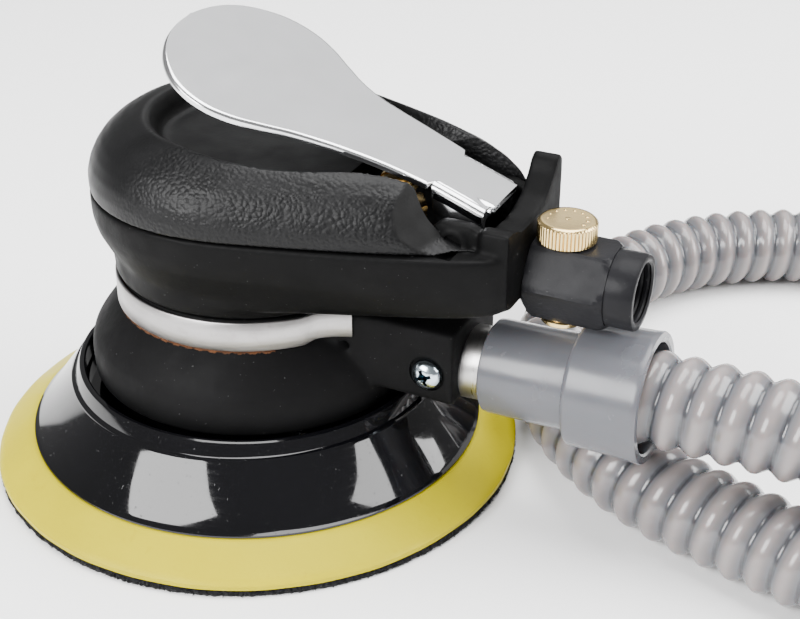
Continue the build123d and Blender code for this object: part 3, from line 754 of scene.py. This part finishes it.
def strip_along(name, line, thick, bounds):
    """Sheet strip whose inner face follows a plan line, with rounded long edges."""
    line = np.array(line, float)
    ahead = np.gradient(line, axis=0)
    ahead /= np.linalg.norm(ahead, axis=1)[:, None]
    out = np.column_stack([ahead[:, 1], -ahead[:, 0]])
    rings = []
    for k, (p, n) in enumerate(zip(line, out)):
        low, high = bounds(k / (len(line) - 1))
        r = thick * 0.3
        section = [(0, low + r), (r, low), (thick - r, low), (thick, low + r),
                   (thick, high - r), (thick - r, high), (r, high), (0, high - r)]
        rings.append([(p[0] + n[0] * d, p[1] + n[1] * d, z) for d, z in section])
    return loft(name, rings)


def make_band():
    """Clamp band round the neck, whose two ends leave it for the sides of the boss."""
    arc = [on_circle(31.0, turn) for turn in np.linspace(44, 316, 200)]
    tab = [(22.9, -21.0), (23.7, -19.9), (24.8, -18.5), (26.4, -16.8), (28.4, -15.4), (30.4, -14.4),
           (32.3, -13.6)]
    near = []
    for start, end in zip(tab, tab[1:]):
        near += [tuple(np.array(start) * (1 - t) + np.array(end) * t) for t in (0, 0.25, 0.5, 0.75)]
    near.append(tab[-1])
    far = [(x, -y) for x, y in reversed(near)]
    line = np.array(far + arc[1:-1] + near, float)
    for _ in range(6):
        line[1:-1] = (line[:-2] + 2 * line[1:-1] + line[2:]) / 4

    def bounds(t):
        end = min(1.0, max(0.0, (abs(t - 0.5) - 0.415) / 0.03))
        lift = 0.9 * end * end * (3 - 2 * end)
        return 41.2 + lift, 48.2 + 0.35 * lift
    band = strip_along("clamp_band_strip", line, 0.8, bounds)
    finish_piece(band, "housing", "band_aluminium", "clamp_band", angle=50)


def make_liner():
    """Fibre strip under the band, with a ragged lower edge that shows below it."""
    rings = []
    for k, turn in enumerate(np.linspace(52, 308, 420)):
        low = 40.35 + 0.22 * math.sin(k * 0.71) + 0.16 * math.sin(k * 1.93 + 1) + 0.1 * math.sin(k * 3.1)
        section = [(30.45, low + 0.25), (31.15, low), (31.55, low + 0.3), (30.95, 41.5), (30.95, 47.4),
                   (30.45, 47.4)]
        rings.append([(*on_circle(r, turn), z) for r, z in section])
    finish_piece(loft("band_liner_strip", rings), "housing", "liner_cork", "band_liner", angle=60)


def make_shroud_screw():
    """Domed head with a cross recess, whose inside is marked for the painted shade that the material lays
    there.
    """
    screw = spin("shroud_screw_head", [
        (0, -2.4), (1.85, -2.4), (1.85, 0.0), (3.35, 0.0), (3.5, 0.15), (3.5, 0.9), (3.25, 1.7), (2.7, 2.35),
        (1.8, 2.86), (0.9, 3.06), (0, 3.1)], 72)
    for turn in (22, 112):
        slot = slab("slot", [(-1.9, -0.42), (1.9, -0.42), (1.9, 0.42), (-1.9, 0.42)], 1.2, 4, "Z")
        slot.data.transform(Matrix.Rotation(math.radians(turn), 4, "Z"))
        cut(screw, slot)
    cut(screw, spin("pit", [(0, 0.9), (0.4, 1.3), (1.25, 3.4), (0, 3.4)], 24))
    soften_edges(screw, 0.08, 40)
    # Points inside the cross recess are marked; the screw material paints them near-black as painted shade.
    inside = []
    for vertex in screw.data.vertices:
        x, y, z = vertex.co / MM
        inside.append(float(math.hypot(x, y) < 2.2 and 0.5 < z < 2.2))
    mark = screw.data.attributes.new("recess", "FLOAT", "POINT")
    mark.data.foreach_set("value", inside)
    spot = Vector((SCREW_X, SCREW_Y, SCREW_Z)) * MM
    screw.data.transform(Matrix.Translation(spot) @ Matrix.Rotation(QUARTER, 4, "X"))
    return finish_piece(screw, "housing", "screw_zinc", "shroud_screw", angle=40)


def make_dust_tube():
    """Aluminium tube with faint turning marks on the part that shows."""
    profile = [(8.1, 44.8), (8.35, 45.1)]
    profile += [(8.35 - 0.025 * (0.5 + 0.5 * math.sin(k * 2.4)), 45.6 + k * 0.245) for k in range(60)]
    profile += [(8.35, 60.4), (8.35, 73.8), (8.1, 74.0), (7.3, 74.0), (7.1, 73.8), (7.1, 45.0), (7.3, 44.8),
                (8.1, 44.8)]
    tube = on_dust_port(spin("dust_tube_turned", profile, 96))
    finish_piece(tube, "housing", "tube_aluminium", "dust_tube")


def make_cuff():
    """Stepped soft cuff between the tube and the hose, a little out of round."""
    def wobble(r, z, a):
        return r + 0.05 * math.sin(3 * a + z * 0.3) + 0.04 * math.sin(5 * a - z * 0.21) * (r > 9)
    shape = [(8.38, 60.6), (8.6, 60.35), (10.0, 60.3), (10.45, 60.7), (10.62, 62.0), (10.66, 70.0),
             (10.78, 78.5), (10.95, 79.6), (13.5, 80.6), (13.72, 80.9), (13.8, 81.5), (13.95, 88.0),
             (14.3, 95.4), (14.42, 96.4), (14.2, 96.95), (12.6, 97.0), (12.1, 96.7), (11.9, 96.0),
             (11.8, 86.6), (11.2, 86.0), (8.38, 86.0), (8.38, 60.6)]
    cuff = on_dust_port(spin("hose_cuff_moulded", shape, 128, wave=wobble))
    finish_piece(cuff, "housing", "cuff_grey", "hose_cuff", angle=32)


def make_end_cuff():
    """Plain moulded cuff on the hose's far end."""
    start = Vector(HOSE_ROUTE[-1])
    away = Vector((-36, -8, 0)).normalized()
    shape = [(8.9, 0.2), (10.2, 0.0), (10.45, 0.4), (10.45, 8.2), (10.2, 8.8), (10.2, 30.8), (10.45, 31.4),
             (10.45, 39.2), (10.1, 40.0), (8.5, 40.0), (8.02, 39.5), (8.02, 1.2), (8.9, 0.2)]
    cuff = spin("hose_end_cuff_moulded", shape, 96)
    cuff.data.transform(Matrix.Translation(start * MM) @ away.to_track_quat("Z", "Y").to_matrix().to_4x4())
    return finish_piece(cuff, "housing", "cuff_grey", "hose_end_cuff")


make_shroud()
make_band()
make_liner()
make_shroud_screw()
make_dust_tube()
make_cuff()
end_cuff = make_end_cuff()


# ---------------------------------------------------------------- pad

PAD_AT = (0, -1.2)
DUST_HOLES = 6
HOLE_RING_R, HOLE_R = 40, 4.5
FRAY_STEPS = 900
FIBRES = 2600


def cut_dust_holes(piece):
    for k in range(DUST_HOLES):
        a = TURN * k / DUST_HOLES
        spot = (HOLE_RING_R * math.cos(a), HOLE_RING_R * math.sin(a) + PAD_AT[1])
        cut(piece, bar("dust_hole", HOLE_R, (*spot, -2), (*spot, 12), 36))


def make_pad_cone():
    """Glossy cone with a raised rim, a groove below it and a well inside."""
    cone = spin("pad_cone", [
        (0, 8.5), (53.2, 8.5), (53.45, 8.75), (53.4, 9.15), (52.9, 9.45), (52.2, 9.9), (47.9, 15.9),
        (43.75, 21.25), (43.6, 21.6), (43.3, 21.85), (42.9, 21.95), (42.6, 22.15), (41.75, 24.3), (41.5, 24.8),
        (41.1, 25.0), (40.4, 25.0), (40.05, 24.7), (40.0, 24.2), (40.0, 20.4), (39.6, 20.0), (14, 20.0),
        (12, 22.1), (0, 22.1)], 192, PAD_AT)
    finish_piece(cone, "pad", "pad_gloss", "pad_body", angle=24)


def make_foam():
    def lumpy(r, z, a):
        if r < 50:
            return r
        return r + 0.12 * math.sin(5 * a) + 0.07 * math.sin(11 * a + 2) + 0.04 * math.sin(29 * a + 1)
    foam = spin("pad_foam_ring", [
        (0, 1.7), (61.9, 1.7), (62.25, 1.9), (62.35, 2.4), (62.3, 3.0), (61.8, 3.55), (60.9, 4.15),
        (58.2, 5.85), (55.4, 7.6), (54.3, 8.2), (53.7, 8.4), (0, 8.4)], 220, PAD_AT, lumpy)
    cut_dust_holes(foam)
    finish_piece(foam, "pad", "pad_yellow", "pad_foam", angle=30)


def loose_fibres(rng):
    """Short tapered fibres that stand out from the rim of the hook layer."""
    verts, faces = [], []
    for k in range(FIBRES):
        a = rng.uniform(0, TURN)
        r = 62.1 + rng.uniform(-0.3, 0.15)
        z = rng.uniform(0.25, 1.45)
        tilt = rng.normal(0, 0.5)
        reach = rng.uniform(0.25, 0.6)
        wide = rng.uniform(0.10, 0.2)
        c, s = math.cos(a), math.sin(a)
        base = np.array([PAD_AT[0] + r * c, PAD_AT[1] + r * s, z])
        side = np.array([-s, c, 0.0]) * wide
        up = np.array([-s * 0.3, c * 0.3, 1.0]) * wide
        tip = base + np.array([c, s, tilt * 0.5]) * reach + side * rng.normal(0, 1.2)
        tip[2] = max(tip[2], 0.03)
        n = len(verts)
        verts += [base + side, base - side, base + up, tip]
        faces += [(n, n + 2, n + 3), (n + 2, n + 1, n + 3), (n + 1, n, n + 3), (n, n + 1, n + 2)]
    return from_data("fibres", verts, faces)


def make_hook_layer():
    """Thin disc with a frayed rim."""
    rng = np.random.default_rng(4)
    upper_fray = rng.normal(0, 0.16, FRAY_STEPS)
    lower_fray = rng.normal(0, 0.16, FRAY_STEPS)

    def frayed(r, z, a):
        k = int(round(a / TURN * FRAY_STEPS)) % FRAY_STEPS
        return r if r < 60 else r + (upper_fray[k] if z > 0.8 else lower_fray[k])
    disc = spin("hook_layer_pile", [
        (0, 0.02), (61.7, 0.02), (62.1, 0.25), (62.3, 0.8), (62.25, 1.2), (62.0, 1.6), (61.6, 1.75),
        (0, 1.75)], FRAY_STEPS, PAD_AT, frayed)
    cut_dust_holes(disc)
    fuse(disc, loose_fibres(rng))
    finish_piece(disc, "pad", "hook_black", "hook_layer", angle=30)


make_pad_cone()
make_foam()
make_hook_layer()


# ---------------------------------------------------------------- lever

LEVER_LINE = [(-13.0, 104.2), (-2.6, 98.5), (8, 93.5), (22, 88.2), (40, 82.8), (56, 77.2), (61.4, 75.2)]
LEVER_HALF = [(61.4, 8.8), (57.5, 9.1), (54, 9.4), (47, 10.2), (40, 11.2), (33, 12.4), (27, 13.8), (21, 16.2),
              (15.3, 19.7), (10.2, 22.8), (5.5, 24.4), (1.2, 24.4), (-2.6, 23.1), (-5.8, 20.6), (-8.6, 17.2),
              (-10.8, 12.9), (-12.4, 7.0), (-13.0, 0)]
FOLD_X, FOLD_END = 48.8, 60.3
FLANGE_IN, FLANGE_OUT = 7.6, 9.0


def smooth_run(points, count):
    """Open curve through points, by Catmull-Rom pieces over the chord length."""
    p = np.array(points, float)
    run = np.concatenate([[0], np.cumsum(np.linalg.norm(np.diff(p, axis=0), axis=1))])
    slope = np.gradient(p, run, axis=0)
    at = np.linspace(0, run[-1], count)
    k = np.clip(np.searchsorted(run, at, side="right") - 1, 0, len(run) - 2)
    h = (run[k + 1] - run[k])[:, None]
    t = ((at - run[k])[:, None]) / h
    return ((2 * t ** 3 - 3 * t ** 2 + 1) * p[k] + (t ** 3 - 2 * t ** 2 + t) * h * slope[k]
            + (-2 * t ** 3 + 3 * t ** 2) * p[k + 1] + (t ** 3 - t ** 2) * h * slope[k + 1])


def lever_height(x):
    line = smooth_run(LEVER_LINE, 260)
    return float(np.interp(x, line[:, 0], line[:, 1]))


def lever_sheet():
    """Paddle whose edges roll down; over the flanges it narrows to meet their folds."""
    half = smooth_run(LEVER_HALF[::-1], 260)
    tip, end = half[0, 0], half[-1, 0]
    order = np.argsort(half[:, 0])
    stations = tip + (end - tip) * (np.linspace(0, 1, 150) ** 1.7)
    stations[0] = tip + 0.02
    rings = []
    for x in stations:
        z = lever_height(x)
        lean = math.atan((lever_height(x + 0.2) - lever_height(x - 0.2)) / 0.4)
        drop = Vector((math.sin(lean), 0, -math.cos(lean)))
        width = max(0.5, float(np.interp(x, half[order, 0], half[order, 1])))
        if x > FOLD_X - 0.4:
            width = FLANGE_IN + 0.1
        rim = min(0.8, width)
        roll = 0.6 if x < 44 else 0.4
        top, low = [], []
        for s in np.sin(np.linspace(-QUARTER, QUARTER, 49)):
            y = s * width
            edge = max(0.0, abs(y) - (width - rim)) / rim
            lift = 0.25 * (1 - s * s) - 0.9 * roll * edge ** 2.2
            notch = -1.3 * max(0.0, (x - 57) / 4.4) * min(1.0, max(0.0, (-y - 5.2) / 0.5))
            top.append((x + notch - drop.x * lift, y, z - drop.z * lift))
            deep = 1.35 - lift * 0.35
            low.append((x + notch + drop.x * deep, y * (1 - 0.12 / max(width, 1)), z + drop.z * deep))
        rings.append(top + low[::-1])
    return loft("lever_sheet", rings)


def lever_flange(side):
    """Flat cheek that carries the pin."""
    outline = rounded([(48.9, 78.3), (60.2, 74.6), (60.4, 71.5), (59.4, 67.6), (53.0, 67.4), (50.6, 69.4),
                       (48.8, 74.0)], 72)
    flange = slab("flange", outline, side * FLANGE_IN, side * FLANGE_OUT, "Y")
    soften_edges(flange, 0.3, 50)
    return flange


def lever_fold(side):
    """Quarter-round bend from the sheet down into a cheek."""
    bend = 1.6
    turn_down = []
    for k in range(9):
        a = QUARTER * k / 8
        turn_down.append((FLANGE_OUT - bend + bend * math.sin(a), -bend * (1 - math.cos(a))))
    section = turn_down + [(FLANGE_OUT, -3.2), (FLANGE_IN, -3.2), (7.0, -1.2)]
    rings = []
    for x in np.linspace(FOLD_X, FOLD_END, 12):
        z = lever_height(x) - 0.05
        rings.append([(x, side * y, z + d) for y, d in section])
    return loft("fold", rings)


def make_lever():
    parts = [piece for side in (-1, 1) for piece in (lever_flange(side), lever_fold(side))]
    lever = fuse(lever_sheet(), *parts)
    return finish_piece(lever, "lever", "lever_chrome", "lever", angle=40)


def make_lever_pin():
    pin = spin("lever_pin_rod", [
        (0, -13.9), (1.2, -13.9), (1.48, -13.6), (1.48, 13.6), (1.2, 13.9), (0, 13.9)], 40)
    cut(pin, spin("dimple", [(0, 13.2), (0.7, 13.9), (0.9, 14.4), (0, 14.4)], 24))
    spot = Vector((PIN_X, 0, PIN_Z)) * MM
    pin.data.transform(Matrix.Translation(spot) @ Matrix.Rotation(QUARTER, 4, "X"))
    return finish_piece(pin, "housing", "steel_dark", "lever_pin")


# ---------------------------------------------------------------- start valve

VALVE_AT = (VALVE_X, VALVE_Y)


def make_plunger():
    """Stem with a slotted cap that the lever pushes."""
    plunger = spin("valve_plunger_turned", [
        (0, 62.8), (1.6, 62.8), (1.6, 76.4), (3.7, 76.4), (4.2, 76.9), (4.2, 78.9), (3.7, 79.4), (3.2, 79.5),
        (0, 79.5)], 64, VALVE_AT)
    slot = slab("slot", [(-6, -0.5), (6, -0.5), (6, 0.5), (-6, 0.5)], 78.5, 81, "Z")
    spot = Vector((VALVE_X, VALVE_Y, 0)) * MM
    slot.data.transform(Matrix.Translation(spot) @ Matrix.Rotation(math.radians(35), 4, "Z"))
    cut(plunger, slot)
    finish_piece(plunger, "valve", "valve_brass", "valve_plunger")


def make_bush():
    hexagon = [on_circle(6.15, turn) for turn in range(0, 360, 60)]
    rings = []
    for z, scale in ((69.0, 0.99), (72.9, 1.0), (73.2, 0.97), (73.4, 0.9)):
        rings.append([(VALVE_X + x * scale, VALVE_Y + y * scale, z) for x, y in hexagon])
    bush = loft("valve_bush_hex", rings)
    fuse(bush, spin("shank", [(0, 66.7), (5.1, 66.7), (5.1, 69.2), (0, 69.2)], 48, VALVE_AT))
    cut(bush, bar("stem_hole", 1.66, (VALVE_X, VALVE_Y, 60), (VALVE_X, VALVE_Y, 80)))
    finish_piece(bush, "housing", "valve_brass", "valve_bush")


# ---------------------------------------------------------------- inlet and regulator

INLET_Z = 60
HEX_HALF_FLAT = 8.3
HEX_STEPS = 144
INLET_END = 92.5
THREAD_PITCH = 1.337
KNOB_AT = (75.4, 0)
KNURLS = 46


def make_inlet():
    """Hexagonal bushing with chamfered ends, a round collar and a thread in its mouth."""
    rings = []
    for x, round_r in ((68.65, 8.0), (69.3, 9.0), (70.2, 9.7), (84.6, 9.7), (85.6, 9.15), (86.4, 8.5)):
        ring = []
        for k in range(HEX_STEPS):
            a = TURN * k / HEX_STEPS
            off_flat = (a + TURN / 12) % (TURN / 6) - TURN / 12
            reach = min(HEX_HALF_FLAT / math.cos(off_flat), round_r)
            ring.append((x, -reach * math.sin(a), INLET_Z + reach * math.cos(a)))
        rings.append(ring)
    body = loft("inlet_bushing_hex", rings)
    cut(body, lay_on_x(spin("room", [(0, 78), (6.9, 78), (6.9, 95), (0, 95)], 64), INLET_Z))
    profile = [(0, 86.0), (8.05, 86.0), (8.2, 86.6), (8.2, 91.9), (7.95, 92.4), (7.6, INLET_END),
               (6.9, INLET_END)]
    depth = INLET_END
    while depth > 81.5:
        profile += [(6.35, depth - 0.35), (6.62, depth - 0.75), (6.35, depth - 1.15)]
        depth -= THREAD_PITCH
    profile += [(5.4, 80.6), (3.4, 80.5), (3.4, 79.0), (0, 79.0)]
    collar = lay_on_x(spin("collar", profile, 96), INLET_Z)
    neck = lay_on_x(spin("neck", [
        (0, 66.0), (5.4, 66.0), (5.4, 67.6), (7.1, 67.8), (7.3, 68.1), (7.3, 68.9), (0, 68.9)], 72), INLET_Z)
    fuse(body, collar, neck)
    return finish_piece(body, "housing", "inlet_black", "inlet_bushing", angle=30)


def knob_marks():
    """Nine dots that grow round the knob's top, and one at its centre."""
    marks = []
    for k in range(9):
        x, y = on_circle(4.1, 200 - 27.5 * k)
        size = 0.22 + 0.03 * k
        profile = [(0, 73.2), (size, 73.2), (size, 73.42), (size * 0.6, 73.49), (0, 73.5)]
        marks.append(spin("mark", profile, 20, (KNOB_AT[0] + x, y)))
    marks.append(spin("mark", [(0, 73.2), (0.7, 73.2), (0.6, 73.44), (0.3, 73.5), (0, 73.5)], 24, KNOB_AT))
    return marks


def make_knob():
    def knurl(r, z, a):
        if r < 6.0 or z < 68.9 or z > 72.85:
            return r
        return r - 0.3 * (1 - abs(math.sin(KNURLS * a / 2)) ** 0.7)
    knob = spin("regulator_knob_knurled", [
        (0, 68.52), (5.7, 68.52), (6.1, 68.8), (6.28, 68.95), (6.28, 69.6), (6.28, 72.0), (6.28, 72.8),
        (6.1, 72.95), (5.75, 73.3), (5.35, 73.42), (4.9, 73.38), (0, 73.38)], KNURLS * 8, KNOB_AT, knurl)
    fuse(knob, *knob_marks())
    finish_piece(knob, "regulator", "knob_brass", "regulator_knob", angle=30)


def make_clip():
    """Ring that holds the spool's lower end."""
    clip = spin("regulator_ring_clip", [
        (2.0, 50.5), (2.4, 49.95), (4.3, 49.82), (4.6, 50.1), (4.6, 50.9), (4.3, 51.18), (2.4, 51.1),
        (2.0, 50.5)], 64, KNOB_AT)
    finish_piece(clip, "regulator", "knob_brass", "regulator_ring")


make_lever()
make_lever_pin()
make_plunger()
make_bush()
make_inlet()
make_knob()
make_clip()


# ---------------------------------------------------------------- stage

FLOOR_HALF = 3000


def soft_light(name, spot, target, width, height, watts):
    data = bpy.data.lights.new(name, "AREA")
    data.shape = "RECTANGLE"
    data.size, data.size_y = width, height
    data.energy = watts
    lamp = bpy.data.objects.new(name, data)
    lamp.location = spot
    lamp.rotation_euler = (Vector(target) - Vector(spot)).to_track_quat("-Z", "Y").to_euler()
    bpy.context.scene.collection.objects.link(lamp)


def make_stage():
    corners = [(-FLOOR_HALF, -FLOOR_HALF), (FLOOR_HALF, -FLOOR_HALF), (FLOOR_HALF, FLOOR_HALF),
               (-FLOOR_HALF, FLOOR_HALF)]
    floor = from_data("floor", [(x, y, 0) for x, y in corners], [(0, 1, 2, 3)])
    g = Graph("floor_paper", Specular_IOR_Level=0.1, Roughness=0.9)
    g.mottled((0.97, 0.97, 0.97), 0.01, 3)
    floor.data.materials.append(g.mat)
    world = bpy.data.worlds.new("studio")
    bpy.context.scene.world = world
    world.use_nodes = True
    background = world.node_tree.nodes["Background"]
    background.inputs["Color"].default_value = (1, 1, 1, 1)
    background.inputs["Strength"].default_value = 0.34
    soft_light("key_left", (-0.27, -0.75, 0.52), (0, 0, 0.04), 0.62, 0.5, 19)
    soft_light("fill_right", (0.78, 0.27, 0.5), (0, 0, 0.04), 0.78, 0.5, 17)
    soft_light("top", (0.05, 0.15, 0.9), (0, 0, 0), 0.7, 0.7, 17)
    soft_light("rear_card", (0.0, 1.0, 0.78), (0, 0, 0.09), 1.4, 0.6, 3.2)


make_stage()
